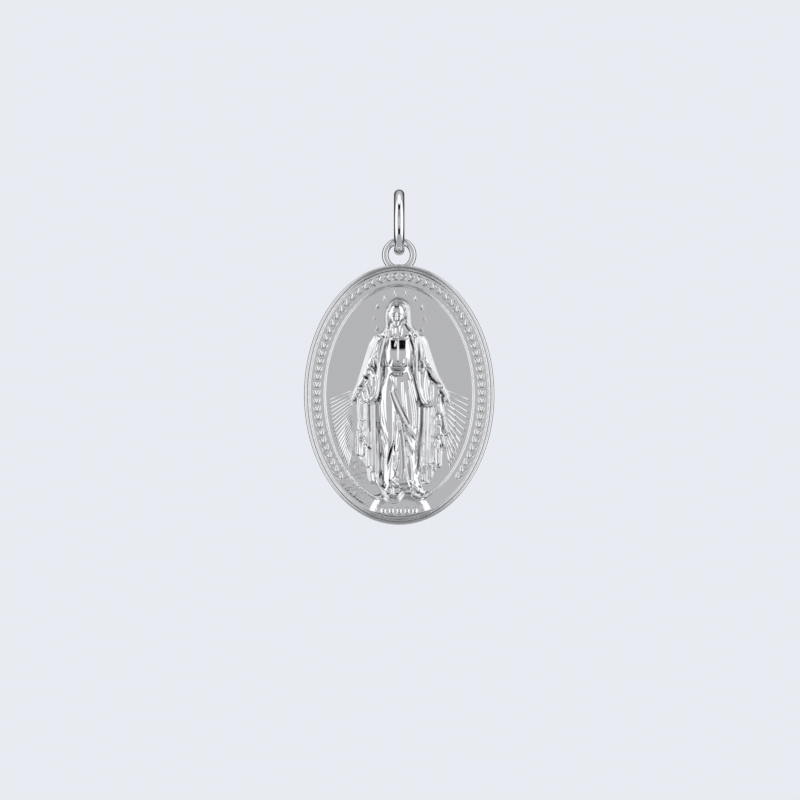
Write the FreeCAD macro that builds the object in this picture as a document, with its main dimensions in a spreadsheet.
import FreeCAD, Part
import Mesh
import Sketcher
import math
import os
from collections import namedtuple

# Religious medal pendant: an oval cast medal with its eye, hung from one round jump ring.
# Millimetres, +Z up, the figured front towards -Y. The origin is where a chain bears inside the jump ring.

doc = FreeCAD.newDocument("MedalPendant")

# Driving dimensions
DIMENSIONS = (
    ("medal_width", 19.0, "width of the oval"),
    ("medal_height", 26.0, "height of the oval"),
    ("medal_centre", 19.47, "centre of the oval below the origin"),
    ("field_depth", 0.40, "field in front of the middle plane"),
    ("band_depth", 0.50, "outer band in front of the middle plane"),
    ("ridge_depth", 0.66, "inner ridge in front of the middle plane"),
    ("rim_depth", 0.85, "rim in front of the middle plane"),
    ("back_depth", 0.80, "plain back behind the middle plane"),
    ("back_rim_depth", 1.00, "back rim behind the middle plane"),
    ("rim_width", 0.58, "width of the raised rim"),
    ("rim_round", 0.24, "rounding of the rim"),
    ("back_rim_round", 0.14, "rounding of the back rim"),
    ("band_width", 1.92, "edge of the oval to the outside of the inner ridge"),
    ("ridge_width", 0.30, "width of the inner ridge"),
    ("eye_radius", 1.395, "middle of the eye's metal"),
    ("eye_wide", 0.325, "half width of the eye's metal"),
    ("eye_thick", 0.55, "half thickness of the eye's metal"),
    ("eye_centre", 5.50, "centre of the eye below the origin"),
    ("ring_radius", 2.765, "middle of the jump ring's wire"),
    ("ring_wire", 0.525, "half thickness of the jump ring's wire"),
    ("relief_root", 0.30, "depth to which the relief is sunk in the field"),
    ("trim_root", 0.06, "depth to which the small ornaments are sunk"),
    ("star_radius", 0.40, "star, centre to point"),
    ("star_height", 0.16, "star over the field"),
    ("star_circle", 2.50, "circle of stars round the head"),
    ("ray_half_width", 0.12, "ray at its widest"),
    ("ray_height", 0.11, "ray over the field"),
    ("leaf_length", 0.84, "leaf of the wreath"),
    ("leaf_half_width", 0.17, "leaf of the wreath"),
    ("leaf_height", 0.17, "leaf over the band"),
    ("wreath_line", 1.24, "edge of the oval to the wreath's stem"),
    ("pearl_radius", 0.36, "pearl on the globe"),
    ("pearl_pitch", 0.78, "pearl to pearl"),
    ("pearl_drop", 11.62, "pearls below the medal's centre"),
    ("pearl_depth", 1.02, "pearls in front of the middle plane"),
)
sheet = doc.addObject("Spreadsheet::Sheet", "dims")
sheet.set("A1", "name")
sheet.set("B1", "mm")
sheet.set("C1", "meaning")
for row, (alias, value, meaning) in enumerate(DIMENSIONS, start=2):
    sheet.set(f"A{row}", alias)
    sheet.set(f"B{row}", str(value))
    sheet.set(f"C{row}", meaning)
    sheet.setAlias(f"B{row}", alias)
doc.recompute()


def size(alias):
    return float(sheet.get(alias))


# A raised form of the figure: its sections from end to end, each at a place from the medal's centre. The form falls by
# drop from its crest to its half width, or all the way to the field where drop is None. A larger bluntness gives a
# flatter top and steeper flanks.
Section = namedtuple("Section", "x z half_width height")
Form = namedtuple("Form", "name drop bluntness sections")

FIGURE = (
    Form("left mantle", None, 3, ((-2.1, 5.2, 0.7, 0.34), (-2.75, 2.6, 0.9, 0.34), (-3.1, 0.0, 1.15, 0.34),
                                  (-2.9, -3.0, 1.25, 0.32), (-2.45, -6.2, 1.0, 0.3), (-2.2, -8.2, 0.7, 0.26))),
    Form("right mantle", None, 3, ((2.1, 5.2, 0.6, 0.34), (2.8, 2.6, 0.8, 0.34), (3.5, 0.2, 1.05, 0.34),
                                   (3.3, -3.0, 1.25, 0.32), (3.0, -5.9, 0.95, 0.3), (2.6, -8.1, 0.65, 0.26))),
    Form("bust", None, 2.4, ((-0.1, 5.9, 1.15, 0.6), (-0.1, 4.5, 1.5, 1.02), (-0.1, 3.3, 1.4, 0.92),
                             (-0.1, 2.4, 1.2, 0.72))),
    Form("belt", 0.3, 2, ((-1.35, 2.25, 0.26, 0.7), (-0.1, 2.1, 0.3, 0.96), (1.15, 2.25, 0.26, 0.7))),
    Form("skirt", None, 2.6, ((-0.1, 2.5, 1.2, 0.72), (-0.05, 0.9, 1.62, 0.86), (0.0, -0.8, 1.85, 0.88),
                              (0.05, -2.8, 1.75, 0.84), (0.05, -5.2, 1.5, 0.76), (0.1, -7.6, 1.45, 0.66),
                              (0.2, -9.2, 1.6, 0.5))),
    Form("left leg", 0.6, 2, ((-0.6, 2.1, 0.6, 0.7), (-0.95, -1.2, 0.95, 1.0), (-0.85, -3.4, 0.85, 1.04),
                              (-0.85, -5.0, 0.7, 1.0), (-0.95, -7.0, 0.6, 0.8), (-0.8, -8.8, 0.65, 0.62))),
    Form("right leg", 0.6, 2, ((0.5, 2.1, 0.6, 0.7), (1.0, -1.2, 0.95, 0.98), (1.15, -3.2, 0.85, 0.96),
                               (1.1, -5.0, 0.7, 0.82), (1.1, -7.4, 0.6, 0.68), (1.5, -9.0, 0.6, 0.5))),
    Form("left arm", None, 2.4, ((-1.55, 5.9, 0.45, 0.7), (-2.3, 4.6, 0.6, 0.84), (-2.75, 3.3, 0.6, 0.82),
                                 (-3.2, 2.4, 0.56, 0.76), (-3.6, 1.5, 0.5, 0.68), (-4.1, 0.5, 0.36, 0.6))),
    Form("right arm", None, 2.4, ((1.5, 5.9, 0.45, 0.7), (2.2, 4.7, 0.56, 0.84), (2.6, 3.5, 0.52, 0.82),
                                  (3.0, 2.75, 0.5, 0.78), (3.7, 1.75, 0.46, 0.72), (4.4, 0.7, 0.34, 0.62))),
    Form("left hem", 0.35, 2, ((-1.1, 6.25, 0.16, 0.84), (-1.55, 4.9, 0.18, 0.98), (-1.85, 1.3, 0.2, 0.84),
                               (-2.1, 0.0, 0.2, 0.74), (-2.6, -0.65, 0.2, 0.68), (-3.05, -0.75, 0.2, 0.64),
                               (-3.45, -0.2, 0.18, 0.6))),
    Form("right hem", 0.35, 2, ((0.85, 6.15, 0.16, 0.84), (1.2, 4.9, 0.18, 0.98), (1.68, 1.3, 0.2, 0.86),
                                (2.1, -0.35, 0.2, 0.74), (2.58, -1.05, 0.2, 0.68), (2.95, -1.25, 0.2, 0.64),
                                (3.4, -0.6, 0.18, 0.6))),
    Form("left sleeve", 0.3, 2, ((-2.95, 2.75, 0.18, 0.84), (-2.5, 2.1, 0.2, 0.78), (-2.4, 0.9, 0.22, 0.7),
                                 (-2.6, -0.1, 0.2, 0.58))),
    Form("left cuff", 0.3, 2, ((-3.3, 1.8, 0.18, 0.76), (-2.95, 1.0, 0.22, 0.7), (-3.05, 0.0, 0.2, 0.58))),
    Form("right sleeve", 0.3, 2, ((2.6, 2.8, 0.18, 0.8), (2.45, 1.0, 0.22, 0.68), (2.7, -0.5, 0.2, 0.56))),
    Form("right cuff", 0.3, 2, ((3.25, 2.2, 0.18, 0.78), (2.95, 0.9, 0.22, 0.68), (3.05, -0.5, 0.2, 0.56))),
    Form("left hand", None, 2, ((-4.05, 0.6, 0.34, 0.58), (-4.4, 0.0, 0.34, 0.56), (-4.65, -0.9, 0.22, 0.42))),
    Form("right hand", None, 2, ((4.35, 0.75, 0.34, 0.6), (4.7, 0.2, 0.34, 0.58), (4.95, -0.7, 0.22, 0.44))),
    Form("long fold", 0.35, 2, ((-0.75, 0.6, 0.14, 0.94), (-0.35, -0.9, 0.24, 1.18), (0.25, -2.4, 0.28, 1.2),
                                (0.9, -3.8, 0.24, 1.06), (1.55, -4.8, 0.14, 0.8))),
    Form("trailing fold", 0.35, 2, ((-0.1, -1.8, 0.18, 1.06), (0.2, -3.4, 0.24, 1.12), (0.48, -5.0, 0.24, 1.04),
                                    (0.75, -7.0, 0.24, 0.9), (1.15, -8.9, 0.22, 0.68))),
    Form("middle pleat", 0.3, 2, ((-0.22, -2.6, 0.16, 1.0), (-0.25, -5.0, 0.22, 1.0), (-0.5, -8.2, 0.18, 0.74))),
    Form("thigh edge", 0.3, 2, ((0.38, 1.3, 0.14, 0.94), (0.4, -0.4, 0.18, 1.08), (0.8, -2.5, 0.14, 0.98))),
    Form("shin pleat", 0.25, 2, ((-0.65, -5.6, 0.14, 0.92), (-0.9, -8.8, 0.18, 0.66))),
    Form("gown hem", 0.3, 2, ((1.0, -8.2, 0.22, 0.7), (1.4, -9.1, 0.24, 0.62), (2.2, -9.7, 0.22, 0.48))),
    Form("right fall 1", None, 2.4, ((4.0, -0.4, 0.3, 0.6), (4.25, -1.9, 0.4, 0.58))),
    Form("right fall 2", None, 2.4, ((4.0, -2.2, 0.5, 0.64), (4.2, -3.7, 0.55, 0.58))),
    Form("right fall 3", None, 2.4, ((3.95, -4.1, 0.45, 0.6), (4.2, -5.1, 0.45, 0.54))),
    Form("right fall 4", None, 2.4, ((3.8, -5.5, 0.4, 0.58), (3.85, -6.8, 0.42, 0.5))),
    Form("right fall 5", None, 2.4, ((2.9, -7.1, 0.36, 0.52), (2.85, -8.6, 0.34, 0.44))),
    Form("left fall 1", None, 2.4, ((-4.25, -0.9, 0.26, 0.52), (-4.05, -2.1, 0.3, 0.5))),
    Form("left fall 2", None, 2.4, ((-4.0, -2.0, 0.34, 0.52), (-4.0, -3.5, 0.34, 0.46))),
    Form("left fall 3", None, 2.4, ((-4.0, -3.8, 0.36, 0.5), (-4.0, -5.7, 0.36, 0.44))),
    Form("left fall 4", None, 2.4, ((-3.3, -5.2, 0.34, 0.54), (-3.3, -6.9, 0.32, 0.46))),
    Form("left fall 5", None, 2.4, ((-2.8, -7.2, 0.34, 0.48), (-2.65, -8.5, 0.3, 0.4))),
    Form("left foot", 0.5, 2, ((-0.75, -9.1, 0.36, 0.72), (-0.6, -9.8, 0.38, 0.76))),
    Form("right foot", 0.5, 2, ((1.5, -9.2, 0.3, 0.64), (2.1, -9.7, 0.32, 0.64))),
    Form("globe", None, 4, ((0.0, -12.5, 3.25, 0.62), (0.2, -12.5, 3.25, 0.62))),
    Form("snake", 0.4, 2, ((-1.9, -9.1, 0.16, 0.66), (-1.5, -9.95, 0.2, 0.8), (-0.55, -10.5, 0.22, 0.84),
                           (0.25, -9.8, 0.22, 0.84), (0.9, -9.5, 0.2, 0.8), (1.6, -10.05, 0.2, 0.8),
                           (2.3, -10.25, 0.22, 0.78), (2.95, -9.7, 0.16, 0.66))),
    Form("head", None, 2, ((-0.25, 8.45, 0.95, 1.06), (-0.25, 7.7, 0.98, 1.08))),
    Form("veil", None, 2.4, ((-0.15, 8.6, 1.05, 0.84), (-0.12, 7.6, 1.2, 0.82), (-0.05, 6.6, 1.4, 0.62))),
    Form("left veil edge", 0.35, 2, ((-0.25, 9.4, 0.22, 0.66), (-1.0, 8.7, 0.26, 0.82), (-1.15, 7.6, 0.24, 0.8),
                                     (-1.3, 6.7, 0.24, 0.72), (-1.9, 6.0, 0.24, 0.68))),
    Form("right veil edge", 0.35, 2, ((-0.1, 9.4, 0.22, 0.66), (0.65, 8.75, 0.26, 0.84), (0.88, 7.6, 0.26, 0.82),
                                      (1.05, 6.7, 0.24, 0.76), (1.7, 6.0, 0.24, 0.72))),
    Form("neck", None, 2.4, ((-0.2, 7.2, 0.62, 0.82), (-0.15, 6.1, 0.66, 0.78))),
    Form("brow", 0.14, 2, ((-0.62, 8.05, 0.12, 1.06), (-0.25, 8.14, 0.14, 1.14), (0.12, 8.05, 0.12, 1.06))),
    Form("nose", 0.16, 2, ((-0.25, 8.0, 0.07, 1.12), (-0.25, 7.62, 0.1, 1.24))),
    Form("lips", 0.08, 2, ((-0.42, 7.4, 0.06, 1.06), (-0.25, 7.4, 0.08, 1.14), (-0.08, 7.4, 0.06, 1.06))),
    Form("chin", 0.14, 2, ((-0.3, 7.12, 0.18, 1.02), (-0.2, 7.12, 0.18, 1.02))),
)

# Pleats that hang side by side from each wide sleeve, spread evenly from the first to the last
PleatRow = namedtuple("PleatRow", "count first_x last_x top_z first_foot last_foot gather half_width height")
PLEATS = (
    PleatRow(6, -3.60, -1.75, -0.95, -4.6, -8.7, 0.06, 0.18, 0.56),
    PleatRow(5, 2.10, 3.60, -1.25, -8.2, -6.6, -0.16, 0.17, 0.55),
)
PLEAT_DROP = 0.28
PLEAT_FALL = 0.06

# Rays that spread from each hand and the falls under it towards the inner ridge: where the first and the last start,
# and the places they point at
RayFan = namedtuple("RayFan", "count first_x first_z first_end_x first_end_z last_x last_z last_end_x last_end_z")
RAYS = (
    RayFan(20, -4.60, 0.45, -7.90, -0.95, -4.45, -4.40, -5.50, -8.60),
    RayFan(13, 4.65, 0.45, 7.90, -0.95, 4.55, -4.70, 5.30, -8.00),
)
RAY_CREST = 0.42

STARS = 10
STAR_FIRST_ANGLE = 205.0
STAR_LAST_ANGLE = -27.0
HEAD_X = 0.03
HEAD_Z = 7.65
STAR_POINTS = 5
STAR_NOTCH = 0.45

LEAF_PAIRS = 31
LEAF_LEAN = 27.0
WREATH_FOOT_ANGLE = -46.0
WREATH_STEPS = 720
PEARLS = 5

# Grid of the relief: fine over the face, coarser over the dress
FINE = 0.085
COARSE = 0.25
GRID_LEFT, FACE_LEFT, FACE_RIGHT, GRID_RIGHT = -5.6, -1.05, 0.62, 5.6
GRID_FOOT, FACE_FOOT, FACE_TOP, GRID_TOP = -12.8, 6.9, 8.5, 10.0
CURVE_STEPS = 4
BLEND = 0.05
PLANE_CLEARANCE = 0.02
GLOBE_EDGE_SLOPE = 2.5
GLOBE_EDGE_GAP = 0.16


def refined(sections):
    """The sections with smooth ones between them, on a curve through all of them."""
    if len(sections) < 3:
        return [Section(*row) for row in sections]
    padded = [sections[0], *sections, sections[-1]]
    rows = []
    for before, start, end, after in zip(padded, padded[1:], padded[2:], padded[3:]):
        for step in range(CURVE_STEPS):
            t = step / CURVE_STEPS
            rows.append(Section(*(
                0.5 * (2 * b + (c - a) * t + (2 * a - 5 * b + 4 * c - d) * t ** 2 + (3 * b - a - 3 * c + d) * t ** 3)
                for a, b, c, d in zip(before, start, end, after))))
    return rows + [Section(*sections[-1])]


def pleat_forms():
    forms = []
    for row in PLEATS:
        for i in range(row.count):
            share = i / (row.count - 1)
            x = row.first_x + share * (row.last_x - row.first_x)
            foot = row.first_foot + share * (row.last_foot - row.first_foot)
            forms.append(Form("pleat", PLEAT_DROP, 2, (
                (x, row.top_z, row.half_width, row.height),
                (x + row.gather, foot, row.half_width, row.height - PLEAT_FALL))))
    return forms


def prepared(forms):
    """Each form with its refined sections and the box that it can reach."""
    lines = []
    for form in forms:
        rows = refined(form.sections)
        margin = 2 * max(row.half_width for row in rows)
        xs = [row.x for row in rows]
        zs = [row.z for row in rows]
        lines.append((form, rows, (min(xs) - margin, max(xs) + margin, min(zs) - margin, max(zs) + margin)))
    return lines


def rise(x, z, form, rows):
    """Height of one form over the field at a place, from the nearest point of its line."""
    nearest = None
    for a, b in zip(rows, rows[1:]):
        run_x = b.x - a.x
        run_z = b.z - a.z
        t = ((x - a.x) * run_x + (z - a.z) * run_z) / (run_x ** 2 + run_z ** 2)
        t = min(max(t, 0.0), 1.0)
        away = math.hypot(x - a.x - t * run_x, z - a.z - t * run_z)
        if nearest is None or away < nearest[0]:
            nearest = (away, a.half_width + t * (b.half_width - a.half_width), a.height + t * (b.height - a.height))
    away, half_width, height = nearest
    fall = height if form.drop is None else form.drop
    return height - fall * (away / half_width) ** form.bluntness


def inside_edge(x, z):
    """Distance of a place from the medal's edge, measured inwards."""
    across = size("medal_width") / 2
    along = size("medal_height") / 2
    share = math.hypot(x / across, z / along)
    if share < 0.5:
        return across / 2
    return (1 - share) * share / math.hypot(x / across ** 2, z / along ** 2)


def relief_height(x, z, lines):
    """Height of the whole relief over the field: the highest form, with soft valleys, ending inside the rim."""
    root = -size("relief_root")
    height = root
    for form, rows, (left, right, low, high) in lines:
        if left < x < right and low < z < high:
            other = rise(x, z, form, rows)
            overlap = max(BLEND - abs(height - other), 0.0)
            height = max(height, other) + overlap ** 2 / (4 * BLEND)
    band = size("band_depth") - size("field_depth")
    limit = band + GLOBE_EDGE_SLOPE * (inside_edge(x, z) - size("rim_width") - GLOBE_EDGE_GAP)
    return max(min(height, limit), root)


def grid_lines(*stretches):
    """Grid lines over stretches given as start, end and step."""
    lines = [stretches[0][0]]
    for start, end, step in stretches:
        count = max(round((end - start) / step), 1)
        lines += [start + (end - start) * (i + 1) / count for i in range(count)]
    return lines


def clear_of(height, planes):
    """A height moved off the flat faces of the medal's front, so that no corner of the relief lies in one of them."""
    for plane in planes:
        if abs(height - plane) < PLANE_CLEARANCE:
            return plane + math.copysign(PLANE_CLEARANCE, height - plane)
    return height


def joined_by_sides(cells):
    """The cells with others added wherever two of them meet at a corner alone."""
    cells = set(cells)
    loose = True
    while loose:
        loose = [(i + 1, j) for i, j in cells for beside in (j - 1, j + 1)
                 if (i + 1, beside) in cells and (i + 1, j) not in cells and (i, beside) not in cells]
        cells.update(loose)
    return cells


def figure_relief():
    """Closed faceted solid: a top over the grid, a flat root, and a wall round the cells that are raised."""
    xs = grid_lines((GRID_LEFT, FACE_LEFT, COARSE), (FACE_LEFT, FACE_RIGHT, FINE), (FACE_RIGHT, GRID_RIGHT, COARSE))
    zs = grid_lines((GRID_FOOT, FACE_FOOT, COARSE), (FACE_FOOT, FACE_TOP, FINE), (FACE_TOP, GRID_TOP, COARSE))
    lines = prepared([*FIGURE, *pleat_forms()])
    field = -size("field_depth")
    centre = -size("medal_centre")
    root = field + size("relief_root") + PLANE_CLEARANCE
    planes = (0.0, size("band_depth") - size("field_depth"), size("ridge_depth") - size("field_depth"))
    high = [[clear_of(relief_height(x, z, lines), planes) for z in zs] for x in xs]
    cells = joined_by_sides(
        (i, j) for i in range(len(xs) - 1) for j in range(len(zs) - 1)
        if max(high[i][j], high[i + 1][j], high[i][j + 1], high[i + 1][j + 1]) > 0)

    def top(corner):
        i, j = corner
        return (xs[i], field - high[i][j], zs[j] + centre)

    def foot(corner):
        i, j = corner
        return (xs[i], root, zs[j] + centre)

    facets = []
    for i, j in cells:
        a, b, c, d = (i, j), (i + 1, j), (i + 1, j + 1), (i, j + 1)
        if abs(high[i][j] - high[i + 1][j + 1]) < abs(high[i + 1][j] - high[i][j + 1]):
            halves = ((a, b, c), (a, c, d))
        else:
            halves = ((a, b, d), (b, c, d))
        for p, q, r in halves:
            facets.append((top(p), top(q), top(r)))
            facets.append((foot(p), foot(r), foot(q)))
        sides = (((a, b), (i, j - 1)), ((b, c), (i + 1, j)), ((c, d), (i, j + 1)), ((d, a), (i - 1, j)))
        for (p, q), beyond in sides:
            if beyond not in cells:
                facets.append((top(q), top(p), foot(p)))
                facets.append((top(q), foot(p), foot(q)))
    shell = Part.Shape()
    shell.makeShapeFromMesh(Mesh.Mesh(facets).Topology, PLANE_CLEARANCE / 1000)
    solid = Part.makeSolid(shell)
    if solid.Volume < 0:
        solid.reverse()
    return solid.removeSplitter()


def spike(outline, crest, surface, height):
    """Low faceted ornament on a flat face of the medal: its outline a little under the face, its crest over it."""
    root = size("trim_root")
    centre = -size("medal_centre")
    base = [FreeCAD.Vector(x, -surface + root, z + centre) for x, z in outline]
    point = FreeCAD.Vector(crest[0], -surface - height, crest[1] + centre)
    faces = [Part.Face(Part.makePolygon([*base, base[0]]))]
    for a, b in zip(base, base[1:] + base[:1]):
        faces.append(Part.Face(Part.makePolygon([a, b, point, a])))
    solid = Part.makeSolid(Part.makeShell(faces))
    if solid.Volume < 0:
        solid.reverse()
    return solid


def star_solids():
    """Stars on an arc round the head, each with one point up."""
    solids = []
    radius = size("star_radius")
    for i in range(STARS):
        angle = math.radians(STAR_FIRST_ANGLE + i * (STAR_LAST_ANGLE - STAR_FIRST_ANGLE) / (STARS - 1))
        x = HEAD_X + size("star_circle") * math.cos(angle)
        z = HEAD_Z + size("star_circle") * math.sin(angle)
        outline = []
        for corner in range(2 * STAR_POINTS):
            reach = radius if corner % 2 == 0 else radius * STAR_NOTCH
            turn = math.radians(90 + corner * 180 / STAR_POINTS)
            outline.append((x + reach * math.cos(turn), z + reach * math.sin(turn)))
        solids.append(spike(outline, (x, z), size("field_depth"), size("star_height")))
    return solids


def blade(start, end, half_width, widest, surface, height):
    """Four-sided ornament from start to end, widest and highest at a share of its length."""
    run = (end[0] - start[0], end[1] - start[1])
    length = math.hypot(*run)
    side = (-run[1] / length * half_width, run[0] / length * half_width)
    middle = (start[0] + widest * run[0], start[1] + widest * run[1])
    outline = (start, (middle[0] - side[0], middle[1] - side[1]), end, (middle[0] + side[0], middle[1] + side[1]))
    return spike(outline, middle, surface, height)


def ray_solids():
    solids = []
    for fan in RAYS:
        for i in range(fan.count):
            share = i / (fan.count - 1)
            start = (fan.first_x + share * (fan.last_x - fan.first_x), fan.first_z + share * (fan.last_z - fan.first_z))
            goal = (fan.first_end_x + share * (fan.last_end_x - fan.first_end_x),
                    fan.first_end_z + share * (fan.last_end_z - fan.first_end_z))
            end = ray_end(start, goal)
            solids.append(blade(start, end, size("ray_half_width"), RAY_CREST, size("field_depth"), size("ray_height")))
    return solids


def ray_end(start, goal):
    """The place short of the inner ridge where a ray that points at its goal ends."""
    stop = size("band_width") + size("ridge_width") + size("trim_root")
    length = math.dist(start, goal)
    run = ((goal[0] - start[0]) / length, (goal[1] - start[1]) / length)
    while inside_edge(start[0] + length * run[0], start[1] + length * run[1]) < stop:
        length -= size("trim_root")
    return start[0] + length * run[0], start[1] + length * run[1]


def wreath_stations():
    """Evenly spaced places along one branch of the wreath, from its foot to the top, each with its direction."""
    across = size("medal_width") / 2 - size("wreath_line")
    along = size("medal_height") / 2 - size("wreath_line")
    foot = math.radians(WREATH_FOOT_ANGLE)
    turn = math.pi / 2 - foot
    path = [(across * math.cos(foot + turn * i / WREATH_STEPS), along * math.sin(foot + turn * i / WREATH_STEPS))
            for i in range(WREATH_STEPS + 1)]
    run = [0.0]
    for a, b in zip(path, path[1:]):
        run.append(run[-1] + math.dist(a, b))
    stations = []
    for i in range(LEAF_PAIRS):
        goal = run[-1] * i / LEAF_PAIRS
        step = next(n for n, travelled in enumerate(run) if travelled >= goal)
        a, b = path[max(step - 1, 0)], path[min(step + 1, WREATH_STEPS)]
        stations.append((*path[step], math.atan2(b[1] - a[1], b[0] - a[0])))
    return stations


def wreath_solids():
    """Two branches of leaf pairs that climb the band and meet at the top."""
    solids = []
    length = size("leaf_length")
    for x, z, heading in wreath_stations():
        for lean in (-LEAF_LEAN, LEAF_LEAN):
            angle = heading + math.radians(lean)
            for mirror in (1, -1):
                start = (mirror * x, z)
                end = (mirror * (x + length * math.cos(angle)), z + length * math.sin(angle))
                solids.append(blade(start, end, size("leaf_half_width"), 0.5, size("band_depth"), size("leaf_height")))
    return solids


def origin_plane(body, role):
    return next(feature for feature in body.Origin.OriginFeatures if feature.Role == role)


def add_oval(sketch, inset):
    """An upright ellipse at an inset from the medal's edge, held by constraints bound to the sheet."""
    centre = FreeCAD.Vector(0, -size("medal_centre"), 0)
    top = centre + FreeCAD.Vector(0, size("medal_height") / 2, 0)
    side = centre + FreeCAD.Vector(size("medal_width") / 2, 0, 0)
    oval = sketch.addGeometry(Part.Ellipse(top, side, centre))
    sketch.exposeInternalGeometry(oval)
    major, minor = oval + 1, oval + 2
    sketch.addConstraint(Sketcher.Constraint("PointOnObject", oval, 3, -2))
    down = sketch.addConstraint(Sketcher.Constraint("DistanceY", oval, 3, -1, 1, size("medal_centre")))
    sketch.addConstraint(Sketcher.Constraint("Vertical", major))
    tall = sketch.addConstraint(Sketcher.Constraint("Distance", major, size("medal_height")))
    wide = sketch.addConstraint(Sketcher.Constraint("Distance", minor, size("medal_width")))
    sketch.setExpression(f"Constraints[{down}]", "dims.medal_centre")
    sketch.setExpression(f"Constraints[{tall}]", f"dims.medal_height - 2 * ({inset})")
    sketch.setExpression(f"Constraints[{wide}]", f"dims.medal_width - 2 * ({inset})")


def oval_sketch(body, name, depth, *insets):
    """Sketch at a depth in front of the middle plane, with one oval for each inset."""
    sketch = body.newObject("Sketcher::SketchObject", name)
    sketch.AttachmentSupport = (origin_plane(body, "XZ_Plane"), "")
    sketch.MapMode = "FlatFace"
    sketch.setExpression(".AttachmentOffset.Base.z", depth)
    for inset in insets:
        add_oval(sketch, inset)
    return sketch


def pad(body, name, sketch, length):
    feature = body.newObject("PartDesign::Pad", name)
    feature.Profile = sketch
    feature.setExpression("Length", length)
    doc.recompute()


def pocket(body, name, sketch, length, from_back=False):
    """A pocket, which must take metal away."""
    before = body.Shape.Volume
    feature = body.newObject("PartDesign::Pocket", name)
    feature.Profile = sketch
    feature.setExpression("Length", length)
    feature.Reversed = from_back
    doc.recompute()
    if body.Shape.Volume >= before:
        raise RuntimeError(f"{name} took nothing away")


def round_edges(body, name, depth, radius):
    """Rounds both ovals that bound the rim's face at this depth."""
    sharp = body.Tip
    edges = [f"Edge{n}" for n, edge in enumerate(body.Shape.Edges, start=1)
             if abs(edge.BoundBox.YMin - depth) < PLANE_CLEARANCE and abs(edge.BoundBox.YMax - depth) < PLANE_CLEARANCE]
    feature = body.newObject("PartDesign::Fillet", name)
    feature.Base = (sharp, edges)
    feature.setExpression("Radius", radius)
    doc.recompute()


def medal_blank():
    """The bare medal: plate with a rounded rim front and back, sunk band, inner ridge and field."""
    body = doc.addObject("PartDesign::Body", "medal_blank")
    pad(body, "plate", oval_sketch(body, "outline", "-dims.back_rim_depth", "0"),
        "dims.back_rim_depth + dims.rim_depth")
    pocket(body, "band", oval_sketch(body, "band_outline", "dims.rim_depth", "dims.rim_width"),
           "dims.rim_depth - dims.band_depth")
    pocket(body, "back", oval_sketch(body, "back_outline", "-dims.back_rim_depth", "dims.rim_width"),
           "dims.back_rim_depth - dims.back_depth", from_back=True)
    round_edges(body, "rim_rounding", -size("rim_depth"), "dims.rim_round")
    round_edges(body, "back_rim_rounding", size("back_rim_depth"), "dims.back_rim_round")
    ridge_inside = "dims.band_width + dims.ridge_width"
    pad(body, "ridge", oval_sketch(body, "ridge_outline", "dims.band_depth", "dims.band_width", ridge_inside),
        "dims.ridge_depth - dims.band_depth")
    pocket(body, "field", oval_sketch(body, "field_outline", "dims.band_depth", ridge_inside),
           "dims.band_depth - dims.field_depth")
    return body


def medal_eye():
    """The eye cast on the top of the medal: an oval section turned about the eye's centre."""
    body = doc.addObject("PartDesign::Body", "medal_eye")
    sketch = body.newObject("Sketcher::SketchObject", "eye_section")
    sketch.AttachmentSupport = (origin_plane(body, "YZ_Plane"), "")
    sketch.MapMode = "FlatFace"
    axis_height = -size("eye_centre")
    axis = sketch.addGeometry(
        Part.LineSegment(FreeCAD.Vector(-1, axis_height, 0), FreeCAD.Vector(1, axis_height, 0)), True)
    sketch.addConstraint(Sketcher.Constraint("Horizontal", axis))
    axis_down = sketch.addConstraint(Sketcher.Constraint("DistanceY", axis, 1, -1, 1, -axis_height))
    middle = FreeCAD.Vector(0, axis_height + size("eye_radius"), 0)
    thick = FreeCAD.Vector(size("eye_thick"), 0, 0)
    wide = FreeCAD.Vector(0, size("eye_wide"), 0)
    oval = sketch.addGeometry(Part.Ellipse(middle + thick, middle + wide, middle))
    sketch.exposeInternalGeometry(oval)
    major, minor = oval + 1, oval + 2
    sketch.addConstraint(Sketcher.Constraint("PointOnObject", oval, 3, -2))
    down = sketch.addConstraint(Sketcher.Constraint("DistanceY", oval, 3, -1, 1, -middle.y))
    sketch.addConstraint(Sketcher.Constraint("Horizontal", major))
    across = sketch.addConstraint(Sketcher.Constraint("Distance", major, 2 * thick.x))
    radial = sketch.addConstraint(Sketcher.Constraint("Distance", minor, 2 * wide.y))
    sketch.setExpression(f"Constraints[{axis_down}]", "dims.eye_centre")
    sketch.setExpression(f"Constraints[{down}]", "dims.eye_centre - dims.eye_radius")
    sketch.setExpression(f"Constraints[{across}]", "2 * dims.eye_thick")
    sketch.setExpression(f"Constraints[{radial}]", "2 * dims.eye_wide")
    turned = body.newObject("PartDesign::Revolution", "eye_turned")
    turned.Profile = sketch
    turned.ReferenceAxis = (sketch, ["Axis0"])
    turned.Angle = 360.0
    doc.recompute()
    return body


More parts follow.
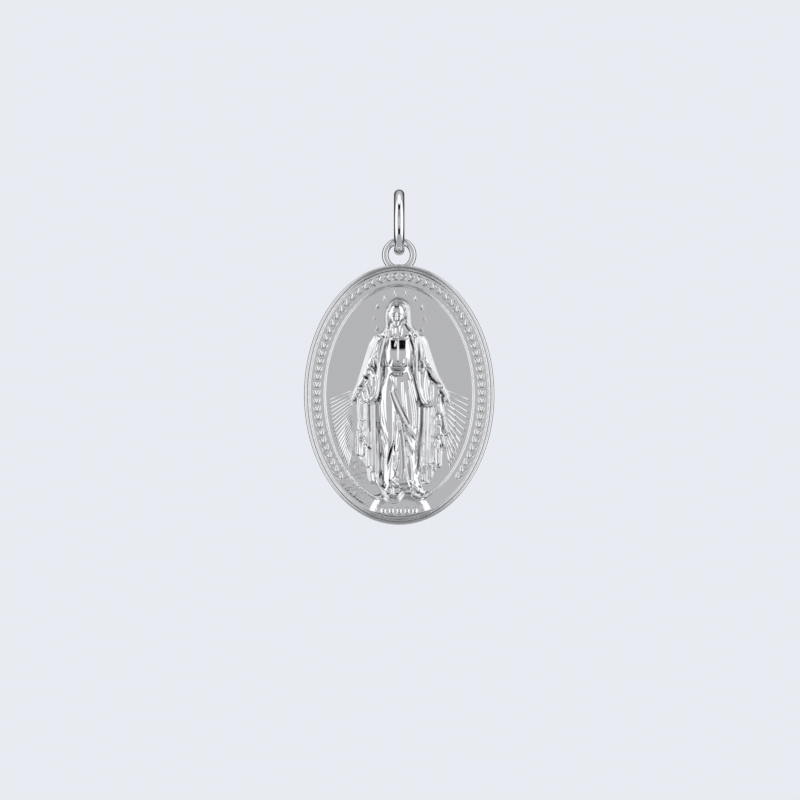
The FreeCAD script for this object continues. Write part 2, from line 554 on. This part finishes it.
def pearl_row():
    """A short row of pearls across the globe under the figure."""
    pearls = []
    for i in range(PEARLS):
        pearl = doc.addObject("Part::Sphere", f"pearl_{i + 1}")
        pearl.setExpression("Radius", "dims.pearl_radius")
        pearl.setExpression(".Placement.Base.x", f"{i - (PEARLS - 1) / 2} * dims.pearl_pitch")
        pearl.setExpression(".Placement.Base.y", "-dims.pearl_depth")
        pearl.setExpression(".Placement.Base.z", "-dims.medal_centre - dims.pearl_drop")
        pearls.append(pearl)
    return pearls


def shaped(name, shape):
    feature = doc.addObject("Part::Feature", name)
    feature.Shape = shape
    return feature


def medal():
    """One cast solid: the blank, the eye and everything raised on the front."""
    ornaments = [shaped(f"ornament_{n}", solid)
                 for n, solid in enumerate([*star_solids(), *ray_solids(), *wreath_solids()], start=1)]
    ground = doc.addObject("Part::MultiFuse", "medal_ground")
    ground.Shapes = [medal_blank(), medal_eye(), *ornaments]
    whole = doc.addObject("Part::MultiFuse", "medal")
    whole.Label = "medal"
    whole.Shapes = [ground, shaped("figure", figure_relief()), *pearl_row()]
    return whole


def jump_ring():
    """Round wire ring that hangs edge-on to the front and passes through the eye."""
    ring = doc.addObject("Part::Torus", "jump_ring")
    ring.Label = "jump_ring"
    ring.setExpression("Radius1", "dims.ring_radius")
    ring.setExpression("Radius2", "dims.ring_wire")
    ring.Placement = FreeCAD.Placement(FreeCAD.Vector(), FreeCAD.Rotation(FreeCAD.Vector(0, 1, 0), 90))
    ring.setExpression(".Placement.Base.z", "dims.ring_wire - dims.ring_radius")
    return ring


def export(parts):
    """Checks the whole document, then writes each sub-part's solid."""
    doc.recompute()
    for item in doc.Objects:
        if "Invalid" in item.State or "Error" in item.State:
            raise RuntimeError(f"{item.Name} failed: {item.State}")
    os.makedirs("parts", exist_ok=True)
    for part in parts:
        shape = part.Shape
        if shape.isNull() or not shape.isValid() or len(shape.Solids) != 1:
            raise RuntimeError(f"{part.Label} isn't one valid solid")
        shape.Solids[0].exportStep(f"parts/{part.Label}.step")
        box = shape.BoundBox
        print(f"{part.Label}: {len(shape.Faces)} faces, {shape.Volume:.2f} mm3, x {box.XMin:.2f} to {box.XMax:.2f}, "
              f"y {box.YMin:.2f} to {box.YMax:.2f}, z {box.ZMin:.2f} to {box.ZMax:.2f}")


export([jump_ring(), medal()])
